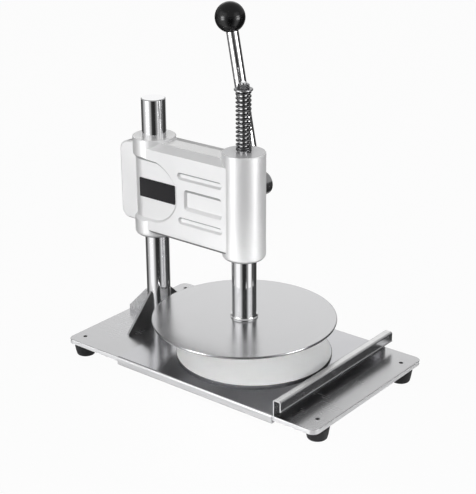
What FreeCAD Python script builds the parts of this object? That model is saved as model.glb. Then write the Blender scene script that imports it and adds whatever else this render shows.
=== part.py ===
"""Lever press that flattens a ball of pizza dough between two round plates.

A flat base plate on four rubber feet carries a round column. A cast head is clamped on the
column and guides a press rod. A ball-topped lever turns a pinion inside the head, the pinion
drives a rack cut in the rod, and the rod lowers the upper disc towards the lower disc, which
sits on a sheet-metal tray that slides out towards the user. A coil spring lifts the rod again.

Millimetres, +Z up. The origin is on the floor, under the middle of the base plate. The user
stands at +X, the lever is on the +Y side.
"""
import FreeCAD
import Part
import math
import os

# Base plate and feet
PLATE_LENGTH = 406.0
PLATE_WIDTH = 239.0
PLATE_THICK = 6.0
PLATE_CORNER_R = 10.0
PLATE_EDGE_R = 0.8
FOOT_HEIGHT = 19.0
FOOT_TOP_R = 15.5
FOOT_BOTTOM_R = 12.5
FOOT_EDGE_R = 2.5
FOOT_PLACES = ((-187.5, -101.0), (-187.5, 104.0), (187.5, -92.0), (187.5, 92.5))
FOOT_HOLE_R = 2.8
FOOT_SCREW_R = 2.75
FOOT_SCREW_HEAD_R = 5.0
FOOT_SCREW_HEAD_H = 4.0
FOOT_SCREW_SEAT_Z = 8.0
FOOT_SCREW_BELOW_TOP = 1.5

PLATE_TOP_Z = FOOT_HEIGHT + PLATE_THICK

# Column and the gussets at its foot
COLUMN_X = -144.0
COLUMN_R = 16.0
COLUMN_TOP_Z = 340.3
COLUMN_BOLT_R = 6.0
COLUMN_BOLT_DEPTH = 32.0
COLUMN_BOLT_HEAD_R = 9.0
COLUMN_BOLT_HEAD_H = 12.0
COLUMN_WASHER_R = 13.0
COLUMN_WASHER_T = 2.5
GUSSET_T = 3.0
SIDE_GUSSET_REACH = 63.5
SIDE_GUSSET_H = 48.5
REAR_GUSSET_REACH = 55.0
REAR_GUSSET_H = 40.0
REAR_GUSSET_FLAT = 8.0
REAR_GUSSET_END_H = 8.0

# Press rod axis and the discs
ROD_X = 4.8
ROD_R = 16.0
SPINDLE_R = 6.5
DISC_R = 120.0
DISC_T = 3.0
DISC_UNDER_Z = 70.0
DISC_SCREW_R = 3.0
DISC_SCREW_HEAD_R = 6.0
RING_R = 18.1
RING_NECK_R = 16.6
RING_FLARE = (0.5, 1.1)
RING_H = 4.6
RING_EDGE_H = 1.0
LOWER_DISC_R = 101.3
LOWER_DISC_T = 3.0

# Tray
TRAY_T = 1.5
TRAY_GAP = 0.2
TRAY_SIDE_GAP = 0.4
TRAY_LEFT_X = -109.0
TRAY_WALL_X = 145.2
TRAY_LIP_W = 7.0
TRAY_LOW_Z = 14.6
HANDLE_TOP_Z = 48.3
HANDLE_REACH = 9.8
HANDLE_LIP_H = 13.8
BEND_R = 1.0
TRAY_OUT_OF_CENTRE = 16.0
LOWER_DISC_EDGE_R = 0.8

# Head casting
HEAD_BOTTOM_Z = 155.2
HEAD_HALF_W = 27.0
WEB_BOTTOM_Z = 166.7
WEB_EDGE_R = 6.0
ROOF_EDGE_Z = 279.4
ROOF_TOP_Z = 286.9
ROOF_BACK_Z = 282.8
ROOF_FRONT_Y = -15.5
ROOF_BACK_Y = 8.0
BARREL_R = 28.6
BARREL_TOP_Z = 290.4
BARREL_RIM_R = 1.2
BOSS_R = 27.9
BOSS_TOP_Z = 295.8
BOSS_ROOF_Z = 286.8
BOSS_RIM_R = 1.0
FOOT_ROUND_R = 6.0
RUN_GAP = 0.05
LUG_END_X = -197.6
LUG_HALF_T = 10.0
LUG_LOW_Z = 168.8
LUG_TOP_Z = (274.3, 284.4)
LUG_CORNER_R = 13.0
LUG_EDGE_R = 2.5
PAD_FACE_Y = 25.0
PAD_SLOPE = 1.35
PAD_CLEAR = 2.0
PAD_LOW_Z = 181.0
PAD_HIGH_Z = 265.5
PAD_RIGHT_X = -84.2
PAD_LOW_TURN = (-120.0, 0.4)
PAD_LOW_BEND = (-96.5, 193.2)
PAD_SIDE_Z = (214.0, 236.0)
PAD_HIGH_BEND = (-96.8, 252.8)
PAD_HIGH_TURN = (-118.0, 0.8)
RECESS_DEPTH = 3.2
RECESS_X = (-71.2, -9.2)
RECESS_Z = (209.4, 237.7)
RECESS_SLOPE_X = 2.8
RECESS_SLOPE_Z = 4.3
RECESS_CORNER_R = 4.5
GROOVE_DEPTH = 2.65
GROOVE_H = 9.7
GROOVE_X = (-81.8, -9.0)
GROOVE_LOW_Z = (188.9, 249.25)
NAME_PLATE_W = 60.9
NAME_PLATE_H = 25.8
NAME_PLATE_T = 0.8
NAME_PLATE_RIGHT_X = -87.9
NAME_PLATE_LOW_Z = 212.5
CLAMP_SCREW_R = 5.0
CLAMP_SCREW_Z = (195.0, 252.0)

# Rack and pinion
MODULE = 2.0
PINION_TEETH = 18
PRESSURE_ANGLE = math.radians(20.0)
PINION_FACE = 14.0
RACK_PITCH_OFFSET = 11.0
RACK_Z = (212.0, 283.0)
BACKLASH = 0.25
PINION_Z = 229.0
PINION_HUB_R = 12.0
PINION_HUB_L = 9.0
SHAFT_R = 8.0
SHAFT_END_Y = -19.5
CAVITY_GAP = 0.6
CAP_FLANGE_R = 25.0
CAP_FLANGE_T = 5.0
BEARING_FOOT_Y = 15.0
CAP_FACE_Y = 42.0
CAP_SCREW_R = 1.5
CAP_SCREW_PCR = 22.7
CAP_SCREW_HEAD_R = 2.2
BUSH_R = 11.0

PITCH_R = MODULE * PINION_TEETH / 2.0
TIP_R = PITCH_R + MODULE
ROOT_R = PITCH_R - 1.25 * MODULE
PINION_X = ROD_X - RACK_PITCH_OFFSET - PITCH_R

# Lever
LEVER_Y = 63.0
LEVER_TILT = 11.1
LEVER_LENGTH = 218.9
LEVER_R = 8.0
LEVER_STUD_R = 5.0
HUB_R = 16.0
HUB_HALF_L = 15.0
HUB_FLAT = 14.5
KNOB_R = 19.6
KNOB_FLAT_R = 8.7

# Return spring on top of the head
WIRE_R = 1.25
SPRING_R = 8.65
SPRING_TURNS = 15.5
SPRING_END_PITCH = 1.0
SPRING_TOP_Z = 374.0
SPRING_WASHER_R = 11.8
SPRING_WASHER_T = 2.0
STUB_R = 4.0
STUB_H = 10.0
NUT_FLATS = 13.0
NUT_H = 6.0

UP = FreeCAD.Vector(0, 0, 1)
ALONG_X = FreeCAD.Vector(1, 0, 0)
ALONG_Y = FreeCAD.Vector(0, 1, 0)
SEAT = 0.05


def vec(x, y, z):
    return FreeCAD.Vector(x, y, z)


def rod(radius, start, end):
    """Solid round bar between two points."""
    axis = end - start
    return Part.makeCylinder(radius, axis.Length, start, axis)


def ring(outer, inner, start, end):
    """Round bar with a bore."""
    axis = (end - start).normalize()
    return rod(outer, start, end).cut(rod(inner, start - axis, end + axis))


def block(low, high):
    """Box between two corners."""
    size = high - low
    return Part.makeBox(size.x, size.y, size.z, low)


def prism(points, direction):
    """Closed polygon of points, pushed along a direction."""
    face = Part.Face(Part.makePolygon(points + [points[0]]))
    return face.extrude(direction)


def lathe(profile, centre, axis):
    """Turned solid: profile is a list of (radius, height) pairs from the axis outwards and back."""
    points = [vec(r, 0, h) for r, h in profile]
    face = Part.Face(Part.makePolygon(points + [points[0]]))
    solid = face.revolve(vec(0, 0, 0), UP, 360)
    solid.Placement = FreeCAD.Placement(centre, FreeCAD.Rotation(UP, axis))
    return solid


def hexagon(across_flats, start, depth):
    """Hexagonal prism for a socket, pushed along depth."""
    axis = vec(depth.x, depth.y, depth.z).normalize()
    side = axis.cross(UP if abs(axis.z) < 0.9 else ALONG_X).normalize()
    other = axis.cross(side)
    radius = across_flats / math.sqrt(3.0)
    points = []
    for step in range(6):
        angle = math.radians(60.0 * step)
        points.append(start + side * (radius * math.cos(angle)) + other * (radius * math.sin(angle)))
    return prism(points, depth)


def fillet_where(solid, radius, test):
    """Round the edges whose middle point passes the test."""
    edges = [e for e in solid.Edges if test(e, e.CenterOfMass)]
    return solid.makeFillet(radius, edges)


def cap_screw(radius, head_radius, head_height, seat, direction, length, socket):
    """Socket-head screw: seat is under the head, direction is where the shank goes."""
    shank = rod(radius, seat, seat + direction * length)
    top = seat - direction * head_height
    head = rod(head_radius, top, seat)
    head = fillet_where(head, head_radius * 0.12, lambda e, c: e.Closed and (c - top).Length < 0.01)
    return head.fuse(shank).removeSplitter().cut(hexagon(socket, top, direction * (head_height * 0.6)))


def base_plate():
    """Flat steel plate with round corners, tapped for the feet and drilled for the column bolt."""
    half_l = PLATE_LENGTH / 2.0
    half_w = PLATE_WIDTH / 2.0
    plate = block(vec(-half_l, -half_w, FOOT_HEIGHT), vec(half_l, half_w, PLATE_TOP_Z))
    plate = fillet_where(plate, PLATE_CORNER_R,
                         lambda e, c: abs(c.x) > half_l - 1 and abs(c.y) > half_w - 1)
    plate = fillet_where(plate, PLATE_EDGE_R, lambda e, c: c.z > PLATE_TOP_Z - 0.01)
    for x, y in FOOT_PLACES:
        plate = plate.cut(rod(FOOT_HOLE_R, vec(x, y, 0), vec(x, y, 50)))
    return plate.cut(rod(COLUMN_BOLT_R + 0.5, vec(COLUMN_X, 0, 0), vec(COLUMN_X, 0, 50)))


def foot(x, y):
    """Tapered rubber foot, hollow under the screw head."""
    body = Part.makeCone(FOOT_BOTTOM_R, FOOT_TOP_R, FOOT_HEIGHT, vec(x, y, 0), UP)
    body = fillet_where(body, FOOT_EDGE_R, lambda e, c: e.Closed and c.z < 0.01)
    body = body.cut(rod(FOOT_SCREW_HEAD_R + 1.0, vec(x, y, -1), vec(x, y, FOOT_SCREW_SEAT_Z)))
    return body.cut(rod(FOOT_HOLE_R, vec(x, y, -1), vec(x, y, FOOT_HEIGHT + 1)))


def foot_screw(x, y):
    length = PLATE_TOP_Z - FOOT_SCREW_BELOW_TOP - FOOT_SCREW_SEAT_Z
    return cap_screw(FOOT_SCREW_R, FOOT_SCREW_HEAD_R, FOOT_SCREW_HEAD_H,
                     vec(x, y, FOOT_SCREW_SEAT_Z), UP, length, 4.0)


def column():
    """Ground round bar, tapped at the foot for the bolt through the plate."""
    bar = rod(COLUMN_R, vec(COLUMN_X, 0, PLATE_TOP_Z), vec(COLUMN_X, 0, COLUMN_TOP_Z))
    top = [e for e in bar.Edges if e.Closed and e.CenterOfMass.z > COLUMN_TOP_Z - 0.01]
    bar = bar.makeChamfer(1.0, top)
    hole_top = PLATE_TOP_Z + COLUMN_BOLT_DEPTH + 3.0
    return bar.cut(rod(COLUMN_BOLT_R + SEAT, vec(COLUMN_X, 0, 0), vec(COLUMN_X, 0, hole_top)))


def column_bolt():
    seat_z = FOOT_HEIGHT - COLUMN_WASHER_T
    length = PLATE_TOP_Z + COLUMN_BOLT_DEPTH - seat_z
    return cap_screw(COLUMN_BOLT_R, COLUMN_BOLT_HEAD_R, COLUMN_BOLT_HEAD_H,
                     vec(COLUMN_X, 0, seat_z), UP, length, 10.0)


def column_washer():
    return ring(COLUMN_WASHER_R, COLUMN_BOLT_R + 0.5, vec(COLUMN_X, 0, FOOT_HEIGHT - COLUMN_WASHER_T),
                vec(COLUMN_X, 0, FOOT_HEIGHT))


def side_gusset(side):
    """Triangular web welded to plate and column, on the -Y or +Y side."""
    low = PLATE_TOP_Z
    profile = [(COLUMN_R - 2.0, low), (SIDE_GUSSET_REACH, low), (SIDE_GUSSET_REACH, low + 2.0),
               (COLUMN_R + 0.5, low + SIDE_GUSSET_H), (COLUMN_R - 2.0, low + SIDE_GUSSET_H)]
    points = [vec(COLUMN_X - GUSSET_T / 2.0, side * y, z) for y, z in profile]
    web = prism(points, vec(GUSSET_T, 0, 0))
    return web.cut(rod(COLUMN_R, vec(COLUMN_X, 0, 0), vec(COLUMN_X, 0, 200)))


def rear_gusset():
    """Web behind the column, flat on top and blunt at its outer end."""
    low = PLATE_TOP_Z
    top = low + REAR_GUSSET_H
    profile = [(COLUMN_R - 2.0, low), (REAR_GUSSET_REACH, low),
               (REAR_GUSSET_REACH, low + REAR_GUSSET_END_H),
               (COLUMN_R + REAR_GUSSET_FLAT, top), (COLUMN_R - 2.0, top)]
    points = [vec(COLUMN_X - x, -GUSSET_T / 2.0, z) for x, z in profile]
    web = prism(points, vec(0, GUSSET_T, 0))
    return web.cut(rod(COLUMN_R, vec(COLUMN_X, 0, 0), vec(COLUMN_X, 0, 200)))


def pad_outline(side, reach):
    """D-shaped outline of the shallow pocket round the name plate, as far out as reach."""
    y = side * reach
    inset = (HEAD_HALF_W - reach) * PAD_SLOPE
    low, high, right = PAD_LOW_Z + inset, PAD_HIGH_Z - inset, PAD_RIGHT_X - inset
    corner = inset * math.sqrt(0.5)
    points = [vec(COLUMN_X, y, low), vec(PAD_LOW_TURN[0], y, low + PAD_LOW_TURN[1]),
              vec(PAD_LOW_BEND[0] - corner, y, PAD_LOW_BEND[1] + corner),
              vec(right, y, PAD_SIDE_Z[0]), vec(right, y, PAD_SIDE_Z[1]),
              vec(PAD_HIGH_BEND[0] - corner, y, PAD_HIGH_BEND[1] - corner),
              vec(PAD_HIGH_TURN[0], y, high - PAD_HIGH_TURN[1]), vec(COLUMN_X, y, high)]
    return Part.Wire([Part.LineSegment(points[0], points[1]).toShape(),
                      Part.Arc(points[1], points[2], points[3]).toShape(),
                      Part.LineSegment(points[3], points[4]).toShape(),
                      Part.Arc(points[4], points[5], points[6]).toShape(),
                      Part.LineSegment(points[6], points[7]).toShape(),
                      Part.LineSegment(points[7], points[0]).toShape()])


def pad_pocket(side):
    """What the pocket takes away: a sloping D in the web and a sloping band round the barrel."""
    out = BARREL_R + PAD_CLEAR
    flat = Part.makeLoft([pad_outline(side, out), pad_outline(side, PAD_FACE_Y)], True, True)
    rise = (out - HEAD_HALF_W) * PAD_SLOPE
    drop = (HEAD_HALF_W - PAD_FACE_Y) * PAD_SLOPE
    band = lathe([(PAD_FACE_Y, PAD_LOW_Z + drop), (out, PAD_LOW_Z - rise), (out, PAD_HIGH_Z + rise),
                  (PAD_FACE_Y, PAD_HIGH_Z - drop)], vec(COLUMN_X, 0, 0), UP)
    low_y, high_y = sorted((side * LUG_HALF_T, side * (out + PAD_CLEAR)))
    band = band.common(block(vec(LUG_END_X, low_y, HEAD_BOTTOM_Z), vec(COLUMN_X, high_y, BOSS_TOP_Z)))
    return flat.fuse(band).removeSplitter()


def head_web():
    """Body between the two barrels, with its bevelled roof."""
    section = [(-HEAD_HALF_W, WEB_BOTTOM_Z), (-HEAD_HALF_W, ROOF_EDGE_Z), (ROOF_FRONT_Y, ROOF_TOP_Z),
               (ROOF_BACK_Y, ROOF_TOP_Z), (HEAD_HALF_W, ROOF_BACK_Z), (HEAD_HALF_W, WEB_BOTTOM_Z)]
    web = prism([vec(COLUMN_X, y, z) for y, z in section], vec(ROD_X - COLUMN_X, 0, 0))
    return fillet_where(web, WEB_EDGE_R,
                        lambda e, c: c.z < WEB_BOTTOM_Z + 0.01 and abs(c.y) > HEAD_HALF_W - 0.01)


def head_barrel():
    """Round part that grips the column."""
    barrel = rod(BARREL_R, vec(COLUMN_X, 0, HEAD_BOTTOM_Z), vec(COLUMN_X, 0, BARREL_TOP_Z))
    barrel = fillet_where(barrel, FOOT_ROUND_R, lambda e, c: e.Closed and c.z < HEAD_BOTTOM_Z + 0.01)
    return fillet_where(barrel, BARREL_RIM_R, lambda e, c: e.Closed and c.z > BARREL_TOP_Z - 0.01)


def head_boss():
    """Round part that guides the press rod."""
    boss = rod(BOSS_R, vec(ROD_X, 0, HEAD_BOTTOM_Z), vec(ROD_X, 0, BOSS_TOP_Z))
    boss = fillet_where(boss, FOOT_ROUND_R, lambda e, c: e.Closed and c.z < HEAD_BOTTOM_Z + 0.01)
    return fillet_where(boss, BOSS_RIM_R, lambda e, c: e.Closed and c.z > BOSS_TOP_Z - 0.01)


def head_lug():
    """Thick ear behind the barrel, tapped for the two clamp screws."""
    profile = [vec(COLUMN_X, -LUG_HALF_T, LUG_LOW_Z), vec(LUG_END_X, -LUG_HALF_T, LUG_LOW_Z),
               vec(LUG_END_X, -LUG_HALF_T, LUG_TOP_Z[0]), vec(COLUMN_X, -LUG_HALF_T, LUG_TOP_Z[1])]
    lug = prism(profile, vec(0, 2.0 * LUG_HALF_T, 0))
    lug = fillet_where(lug, LUG_CORNER_R, lambda e, c: c.x < LUG_END_X + 0.01 and abs(c.y) < 0.01)
    return fillet_where(lug, LUG_EDGE_R,
                        lambda e, c: c.x < COLUMN_X - 1.0 and abs(abs(c.y) - LUG_HALF_T) < 0.01)


def stadium(y, x_ends, z_ends, corner_r):
    """Wire of a rectangle with round corners, standing at one Y."""
    (x0, x1), (z0, z1) = x_ends, z_ends
    turn = corner_r * (1.0 - math.sqrt(0.5))
    edges = []
    for x, z, sx, sz in ((x0, z0, 1, 1), (x1, z0, -1, 1), (x1, z1, -1, -1), (x0, z1, 1, -1)):
        along = vec(x + sx * corner_r, y, z)
        up = vec(x, y, z + sz * corner_r)
        middle = vec(x + sx * turn, y, z + sz * turn)
        ends = (up, along) if sx == sz else (along, up)
        edges.append((ends[0], middle, ends[1]))
    wire = []
    for number, (start, middle, end) in enumerate(edges):
        wire.append(Part.Arc(start, middle, end).toShape())
        following = edges[(number + 1) % 4][0]
        if (following - end).Length > 0.001:
            wire.append(Part.LineSegment(end, following).toShape())
    return Part.Wire(wire)


def sloped_pocket(side, x_ends, z_ends, corner_r, slope_x, slope_z, depth):
    """Shallow pocket whose walls slope, seen from its mouth to a little outside the face."""
    shapes = []
    for share in (-0.3, 1.0):
        y = side * (HEAD_HALF_W - depth * share)
        dx, dz = slope_x * share, slope_z * share
        radius = corner_r - min(dx, dz)
        x_span = (x_ends[0] + dx, x_ends[1] - dx)
        z_span = (z_ends[0] + dz, z_ends[1] - dz)
        shapes.append(stadium(y, x_span, z_span, radius))
    return Part.makeLoft(shapes, True, True)


def side_groove(side, low_z):
    """Long groove with round ends and sloping walls, cast into one side face."""
    return sloped_pocket(side, GROOVE_X, (low_z, low_z + GROOVE_H), GROOVE_H / 2.0 - 0.05,
                         GROOVE_DEPTH, GROOVE_DEPTH, GROOVE_DEPTH)


def panel_recess():
    """Four-sided panel sunk into the side that carries the name plate."""
    return sloped_pocket(-1, RECESS_X, RECESS_Z, RECESS_CORNER_R,
                         RECESS_SLOPE_X, RECESS_SLOPE_Z, RECESS_DEPTH)


def head_casting():
    """One casting: web, barrel, boss, ear and bearing boss, with its sunk pads and grooves."""
    head = head_web().fuse([head_barrel(), head_boss(), head_lug()]).removeSplitter()
    for side in (-1, 1):
        head = head.cut(pad_pocket(side))
    for side in (-1, 1):
        for low_z in GROOVE_LOW_Z:
            head = head.cut(side_groove(side, low_z))
    head = head.cut(panel_recess())
    bearing = rod(CAP_FLANGE_R, vec(PINION_X, BEARING_FOOT_Y, PINION_Z),
                  vec(PINION_X, CAP_FACE_Y, PINION_Z))
    head = head.fuse(bearing).removeSplitter()
    return head.cut(head_bores())


def head_bores():
    """Everything bored out of the casting, as one tool."""
    pinion = vec(PINION_X, 0, PINION_Z)
    cuts = [rod(COLUMN_R + RUN_GAP, vec(COLUMN_X, 0, 100), vec(COLUMN_X, 0, 320)),
            rod(ROD_R + RUN_GAP, vec(ROD_X, 0, 100), vec(ROD_X, 0, BOSS_ROOF_Z)),
            rod(SPINDLE_R + 0.08, vec(ROD_X, 0, 200), vec(ROD_X, 0, 320)),
            rod(TIP_R + CAVITY_GAP, pinion - ALONG_Y * (PINION_FACE / 2.0 + CAVITY_GAP),
                pinion + ALONG_Y * 60.0),
            rod(BUSH_R, pinion + vec(0, SHAFT_END_Y - 1.0, 0), pinion)]
    for z in CLAMP_SCREW_Z:
        cuts.append(rod(CLAMP_SCREW_R + SEAT, vec(LUG_END_X - 5, 0, z), vec(COLUMN_X, 0, z)))
    for x, z in cap_screw_places():
        cuts.append(rod(CAP_SCREW_R + SEAT, vec(x, CAP_FACE_Y - 12.0, z), vec(x, CAP_FACE_Y + 5.0, z)))
    return cuts[0].fuse(cuts[1:])


def cap_screw_places():
    places = []
    for step in range(3):
        angle = math.radians(90.0 + 120.0 * step)
        places.append((PINION_X + CAP_SCREW_PCR * math.cos(angle),
                       PINION_Z + CAP_SCREW_PCR * math.sin(angle)))
    return places


def clamp_screw(z):
    """Headless socket screw that grips the column."""
    start = vec(LUG_END_X + 2.5, 0, z)
    end = vec(COLUMN_X - COLUMN_R - 0.3, 0, z)
    return rod(CLAMP_SCREW_R, start, end).cut(hexagon(5.0, start, vec(6, 0, 0)))


def name_plate():
    """Thin bare plate on the flat of the pocket."""
    face_y = -PAD_FACE_Y
    return block(vec(NAME_PLATE_RIGHT_X - NAME_PLATE_W, face_y - NAME_PLATE_T, NAME_PLATE_LOW_Z),
                 vec(NAME_PLATE_RIGHT_X, face_y, NAME_PLATE_LOW_Z + NAME_PLATE_H))


def rack_space(z):
    """Wedge between two rack teeth, with straight flanks at the pressure angle."""
    half = math.pi * MODULE / 4.0 + BACKLASH / 2.0
    slope = math.tan(PRESSURE_ANGLE)
    outer = ROD_X - RACK_PITCH_OFFSET - MODULE - 1.0
    inner = ROD_X - RACK_PITCH_OFFSET + 1.25 * MODULE
    wide = half + slope * (MODULE + 1.0)
    narrow = half - slope * 1.25 * MODULE
    corners = [(outer, z - wide), (inner, z - narrow), (inner, z + narrow), (outer, z + wide)]
    return prism([vec(x, -ROD_R, height) for x, height in corners], vec(0, 2.0 * ROD_R, 0))


def press_rod():
    """Ground rod with a rack on its rear side and a slim spindle on top for the spring."""
    base_z = DISC_UNDER_Z + DISC_T
    shoulder_z = BOSS_ROOF_Z - 0.3
    bar = rod(ROD_R, vec(ROD_X, 0, base_z), vec(ROD_X, 0, shoulder_z))
    spindle = rod(SPINDLE_R, vec(ROD_X, 0, shoulder_z - 1), vec(ROD_X, 0, SPRING_TOP_Z))
    bar = bar.fuse(spindle).removeSplitter()
    flat_x = ROD_X - RACK_PITCH_OFFSET - MODULE
    bar = bar.cut(block(vec(ROD_X - 20, -20, RACK_Z[0]), vec(flat_x, 20, RACK_Z[1])))
    pitch = math.pi * MODULE
    first = math.ceil((RACK_Z[0] + 3.5 - PINION_Z) / pitch)
    last = math.floor((RACK_Z[1] - 3.5 - PINION_Z) / pitch)
    for step in range(first, last + 1):
        bar = bar.cut(rack_space(PINION_Z + step * pitch))
    bar = bar.cut(rod(DISC_SCREW_R + SEAT, vec(ROD_X, 0, 0), vec(ROD_X, 0, base_z + 20)))
    return bar.fuse(threaded_stub()).removeSplitter()


def threaded_stub():
    """Reduced end of the spindle that carries the washer and the nut."""
    stub = rod(STUB_R, vec(ROD_X, 0, SPRING_TOP_Z - 1), vec(ROD_X, 0, SPRING_TOP_Z + STUB_H))
    return stub.makeChamfer(0.8, [e for e in stub.Edges if e.Closed and e.CenterOfMass.z > SPRING_TOP_Z])


def rod_foot_ring():
    """Flared ring that seats the rod on the disc."""
    low = DISC_UNDER_Z + DISC_T
    neck = vec(RING_NECK_R, 0, low + RING_H)
    edge = vec(RING_R, 0, low + RING_EDGE_H)
    hollow = vec(RING_NECK_R + RING_FLARE[0], 0, low + RING_EDGE_H + RING_FLARE[1])
    bore = ROD_R + SEAT
    edges = [Part.LineSegment(vec(bore, 0, low), vec(RING_R, 0, low)).toShape(),
             Part.LineSegment(vec(RING_R, 0, low), edge).toShape(),
             Part.Arc(edge, hollow, neck).toShape(),
             Part.LineSegment(neck, vec(bore, 0, low + RING_H)).toShape(),
             Part.LineSegment(vec(bore, 0, low + RING_H), vec(bore, 0, low)).toShape()]
    flare = Part.Face(Part.Wire(edges)).revolve(vec(0, 0, 0), UP, 360)
    flare.translate(vec(ROD_X, 0, 0))
    return flare


def press_disc():
    """Upper disc, countersunk from below for its screw."""
    disc = rod(DISC_R, vec(ROD_X, 0, DISC_UNDER_Z), vec(ROD_X, 0, DISC_UNDER_Z + DISC_T))
    disc = fillet_where(disc, 0.8, lambda e, c: e.Closed)
    return disc.cut(countersink(SEAT))


def countersink(extra):
    low = vec(ROD_X, 0, DISC_UNDER_Z)
    head = Part.makeCone(DISC_SCREW_HEAD_R + extra, DISC_SCREW_R + extra, DISC_T, low, UP)
    return head.fuse(rod(DISC_SCREW_R + extra, low + UP * 0.5, low + UP * 10.0))


def disc_screw():
    """Countersunk screw, flush with the disc's underside."""
    head = Part.makeCone(DISC_SCREW_HEAD_R, DISC_SCREW_R, DISC_T, vec(ROD_X, 0, DISC_UNDER_Z), UP)
    shank = rod(DISC_SCREW_R, vec(ROD_X, 0, DISC_UNDER_Z + 1), vec(ROD_X, 0, DISC_UNDER_Z + 20))
    screw = head.fuse(shank).removeSplitter()
    return screw.cut(hexagon(4.0, vec(ROD_X, 0, DISC_UNDER_Z), vec(0, 0, 2.4)))


def tooth_edges(angle, y):
    """Edges of one pinion tooth and the gap after it, in the plane at y, as arcs and lines."""
    base_r = PITCH_R * math.cos(PRESSURE_ANGLE)
    half_pitch = (math.pi / 2.0 - BACKLASH / (2.0 * MODULE)) / PINION_TEETH
    inv_pitch = math.tan(PRESSURE_ANGLE) - PRESSURE_ANGLE

    def flank(radius, side):
        roll = math.acos(min(1.0, base_r / radius))
        half = half_pitch + inv_pitch - (math.tan(roll) - roll)
        turn = angle + side * half
        return vec(PINION_X + radius * math.cos(turn), y, PINION_Z + radius * math.sin(turn))

    def at(radius, turn):
        return vec(PINION_X + radius * math.cos(turn), y, PINION_Z + radius * math.sin(turn))

    half_base = half_pitch + inv_pitch
    step = 2.0 * math.pi / PINION_TEETH
    root_a = at(ROOT_R, angle - half_base)
    root_b = at(ROOT_R, angle + half_base)
    root_c = at(ROOT_R, angle + step - half_base)
    middle_r = (base_r + TIP_R) / 2.0
    return [Part.LineSegment(root_a, flank(base_r, -1)).toShape(),
            Part.Arc(flank(base_r, -1), flank(middle_r, -1), flank(TIP_R, -1)).toShape(),
            Part.Arc(flank(TIP_R, -1), at(TIP_R, angle), flank(TIP_R, 1)).toShape(),
            Part.Arc(flank(TIP_R, 1), flank(middle_r, 1), flank(base_r, 1)).toShape(),
            Part.LineSegment(flank(base_r, 1), root_b).toShape(),
            Part.Arc(root_b, at(ROOT_R, angle + step / 2.0), root_c).toShape()]


def drive_pinion():
    """Spur pinion with a plain hub, drilled for its cross pin."""
    y = -PINION_FACE / 2.0
    edges = []
    for step in range(PINION_TEETH):
        edges += tooth_edges(2.0 * math.pi * step / PINION_TEETH, y)
    gear = Part.Face(Part.Wire(edges)).extrude(vec(0, PINION_FACE, 0))
    centre = vec(PINION_X, 0, PINION_Z)
    hub = rod(PINION_HUB_R, centre, centre + ALONG_Y * (PINION_FACE / 2.0 + PINION_HUB_L))
    gear = gear.fuse(hub).removeSplitter()
    gear = gear.cut(rod(SHAFT_R + 0.02, centre - vec(0, 20, 0), centre + vec(0, 40, 0)))
    return gear.cut(pin_bar(2.02, 30.0))


def pin_bar(radius, length):
    """Bar across the shaft at the pinion's hub."""
    centre = vec(PINION_X, PINION_FACE / 2.0 + PINION_HUB_L / 2.0, PINION_Z)
    return rod(radius, centre - vec(0, 0, length / 2.0), centre + vec(0, 0, length / 2.0))


def pinion_pin():
    return pin_bar(2.0, 2.0 * PINION_HUB_R - 0.6)


def pinion_shaft():
    """Cross shaft from the blind bush to the outer face of the lever's hub."""
    start = vec(PINION_X, SHAFT_END_Y, PINION_Z)
    end = vec(PINION_X, LEVER_Y + HUB_HALF_L, PINION_Z)
    shaft = rod(SHAFT_R, start, end)
    ends = [e for e in shaft.Edges if e.Closed]
    shaft = shaft.makeChamfer(0.8, ends)
    return shaft.cut(pin_bar(2.02, 30.0))


def inner_bush():
    return ring(BUSH_R - 0.02, SHAFT_R + RUN_GAP, vec(PINION_X, SHAFT_END_Y - 1.0, PINION_Z),
                vec(PINION_X, -PINION_FACE / 2.0 - CAVITY_GAP, PINION_Z))


def bearing_cap():
    """Flanged bearing that closes the opening the pinion goes in by."""
    inner_y = PINION_FACE / 2.0 + PINION_HUB_L + 0.5
    outer_y = CAP_FACE_Y + CAP_FLANGE_T
    profile = [(SHAFT_R + RUN_GAP, inner_y), (TIP_R + CAVITY_GAP - 0.02, inner_y),
               (TIP_R + CAVITY_GAP - 0.02, CAP_FACE_Y), (CAP_FLANGE_R, CAP_FACE_Y),
               (CAP_FLANGE_R, outer_y - 1.0), (CAP_FLANGE_R - 1.0, outer_y), (SHAFT_R + RUN_GAP, outer_y)]
    cap = lathe(profile, vec(PINION_X, 0, PINION_Z), ALONG_Y)
    for x, z in cap_screw_places():
        cap = cap.cut(rod(CAP_SCREW_R + SEAT, vec(x, CAP_FACE_Y - 1, z), vec(x, outer_y + 1, z)))
        cap = cap.cut(rod(CAP_SCREW_HEAD_R + 0.1, vec(x, outer_y - 2.5, z), vec(x, outer_y + 1, z)))
    return cap


def cap_fixing(x, z):
    seat = vec(x, CAP_FACE_Y + CAP_FLANGE_T - 2.5, z)
    return cap_screw(CAP_SCREW_R, CAP_SCREW_HEAD_R, 2.0, seat, vec(0, -1, 0), 12.0, 1.6)


def lever_axis():
    """Unit vector from the hub to the ball at rest."""
    tilt = math.radians(LEVER_TILT)
    return vec(-math.sin(tilt), 0, math.cos(tilt))


def hub_centre():
    return vec(PINION_X, LEVER_Y, PINION_Z)


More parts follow.
